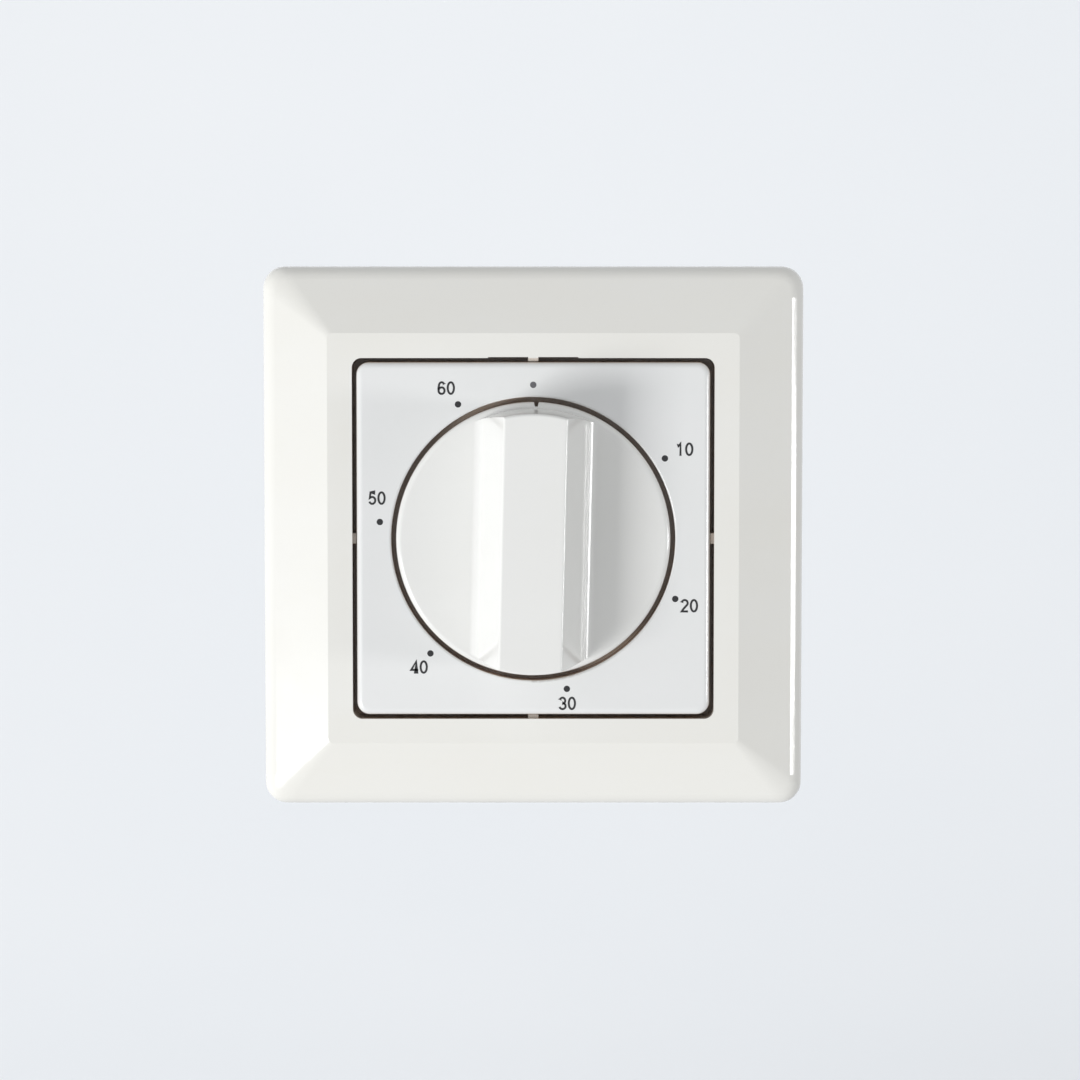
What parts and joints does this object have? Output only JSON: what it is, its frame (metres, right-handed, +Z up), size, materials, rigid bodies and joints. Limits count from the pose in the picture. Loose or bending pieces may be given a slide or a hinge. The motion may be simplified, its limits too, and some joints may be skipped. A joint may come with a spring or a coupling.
{
  "type": "flush wall timer switch",
  "caption": "Flush wall-mounted run-back timer: square cover frame, dial plate and winding knob in front of a clockwork switch in a wall-box housing.",
  "frame": {"origin": "where the knob's axis meets the wall plane", "axes": "+Z up the wall, -Y out of the wall towards the user, +X to the user's right"},
  "size_m": [0.0844, 0.052, 0.0844],
  "materials": {
    "frame_plastic": "warm white moulded plastic, gloss",
    "plate_plastic": "neutral white moulded plastic, gloss",
    "knob_plastic": "white moulded plastic, satin gloss",
    "dial_print": "dark grey pad print",
    "housing_plastic": "black moulded thermoset, matt",
    "carrier_plastic": "natural moulded thermoset, matt",
    "cam_plastic": "natural acetal, satin",
    "zinc_steel": "zinc-plated sheet steel",
    "claw_steel": "zinc-plated spring strip",
    "rivet_steel": "zinc-plated hollow rivets",
    "nut_steel": "plated steel, turned",
    "screw_steel": "yellow-zinc-plated steel screws",
    "turned_steel": "turned and polished steel",
    "spring_steel": "blued spring steel",
    "brass": "turned brass",
    "terminal_brass": "extruded brass, drilled and tapped",
    "brass_plate": "stamped brass sheet",
    "gear_brass": "stamped and cut brass",
    "contact_bronze": "phosphor-bronze leaf with silver tip"
  },
  "bodies": {
    "root": {"frame": "frame_plastic", "centre_plate": "plate_plastic", "threaded_bush": "brass", "lock_washer": "zinc_steel", "bush_nut": "nut_steel", "support_plate": "zinc_steel", "housing": "housing_plastic", "housing_rivets": "rivet_steel", "front_movement_plate": "brass_plate", "rear_movement_plate": "brass_plate", "pillars": "turned_steel", "pillar_spacers": "brass", "pillar_screws": "screw_steel", "pillar_nuts": "nut_steel", "mainspring": "spring_steel", "spring_post": "turned_steel", "contact_carrier": "carrier_plastic", "carrier_screws": "screw_steel", "moving_contact": "contact_bronze", "fixed_contact": "brass", "terminals": "terminal_brass", "terminal_screws": "screw_steel"},
    "winding_shaft": {"knob": "knob_plastic", "knob_clip": "spring_steel", "arbor": "turned_steel", "main_wheel": "gear_brass", "ratchet_wheel": "turned_steel", "click_spring": "spring_steel", "arbor_ring": "spring_steel", "cam": "cam_plastic"},
    "click": {"click": "turned_steel"},
    "second_arbor": {"second_pinion": "turned_steel", "second_wheel": "gear_brass"},
    "third_arbor": {"third_pinion": "turned_steel", "third_wheel": "gear_brass"},
    "escape_arbor": {"escape_pinion": "turned_steel", "escape_wheel": "gear_brass"},
    "balance": {"balance_staff": "turned_steel", "balance_wheel": "gear_brass", "anchor": "turned_steel"},
    "claw_left": {"claw_left": "claw_steel"},
    "claw_right": {"claw_right": "claw_steel"},
    "claw_screw_left": {"claw_screw_left": "screw_steel"},
    "claw_screw_right": {"claw_screw_right": "screw_steel"}
  },
  "joints": [
    {"name": "knob", "type": "hinge", "parent": "root", "child": "winding_shaft", "pos_m": [0, 0, 0], "axis": [0, 1, 0], "range_deg": [0, 330.9], "deforming": ["mainspring", "moving_contact"]},
    {"name": "click", "type": "hinge", "parent": "winding_shaft", "child": "click", "pos_m": [0.0086, 0.0095, 0.0034], "axis": [0, 1, 0], "range_deg": [0, 12], "stiffness_Nm_per_rad": 0.0005, "deforming": ["click_spring"]},
    {"name": "second_arbor", "type": "hinge", "parent": "root", "child": "second_arbor", "pos_m": [-0.0075, 0.009, 0.01182], "axis": [0, 1, 0], "continuous": true},
    {"name": "third_arbor", "type": "hinge", "parent": "root", "child": "third_arbor", "pos_m": [0.0044, 0.009, 0.01339], "axis": [0, 1, 0], "continuous": true},
    {"name": "escape_arbor", "type": "hinge", "parent": "root", "child": "escape_arbor", "pos_m": [0.01289, 0.009, 0.00608], "axis": [0, 1, 0], "continuous": true},
    {"name": "balance", "type": "hinge", "parent": "root", "child": "balance", "pos_m": [0.01339, 0.009, -0.0019], "axis": [0, 1, 0], "range_deg": [-6, 6]},
    {"name": "claw_left", "type": "hinge", "parent": "root", "child": "claw_left", "pos_m": [-0.0226, -0.0006, 0], "axis": [0, 0, 1], "range_deg": [0, 12]},
    {"name": "claw_right", "type": "hinge", "parent": "root", "child": "claw_right", "pos_m": [0.0226, -0.0006, 0], "axis": [0, 0, -1], "range_deg": [0, 12]},
    {"name": "claw_screw_left", "type": "hinge", "parent": "claw_left", "child": "claw_screw_left", "pos_m": [-0.0226, 0.009, 0], "axis": [0, 1, 0], "continuous": true},
    {"name": "claw_screw_right", "type": "hinge", "parent": "claw_right", "child": "claw_screw_right", "pos_m": [0.0226, 0.009, 0], "axis": [0, 1, 0], "continuous": true}
  ],
  "couplings": [
    {"joint": "second_arbor", "follows": "knob", "ratio": -6},
    {"joint": "third_arbor", "follows": "knob", "ratio": 30},
    {"joint": "escape_arbor", "follows": "knob", "ratio": -180},
    {"joint": "claw_screw_left", "follows": "claw_left", "ratio": 180},
    {"joint": "claw_screw_right", "follows": "claw_right", "ratio": 180}
  ]
}
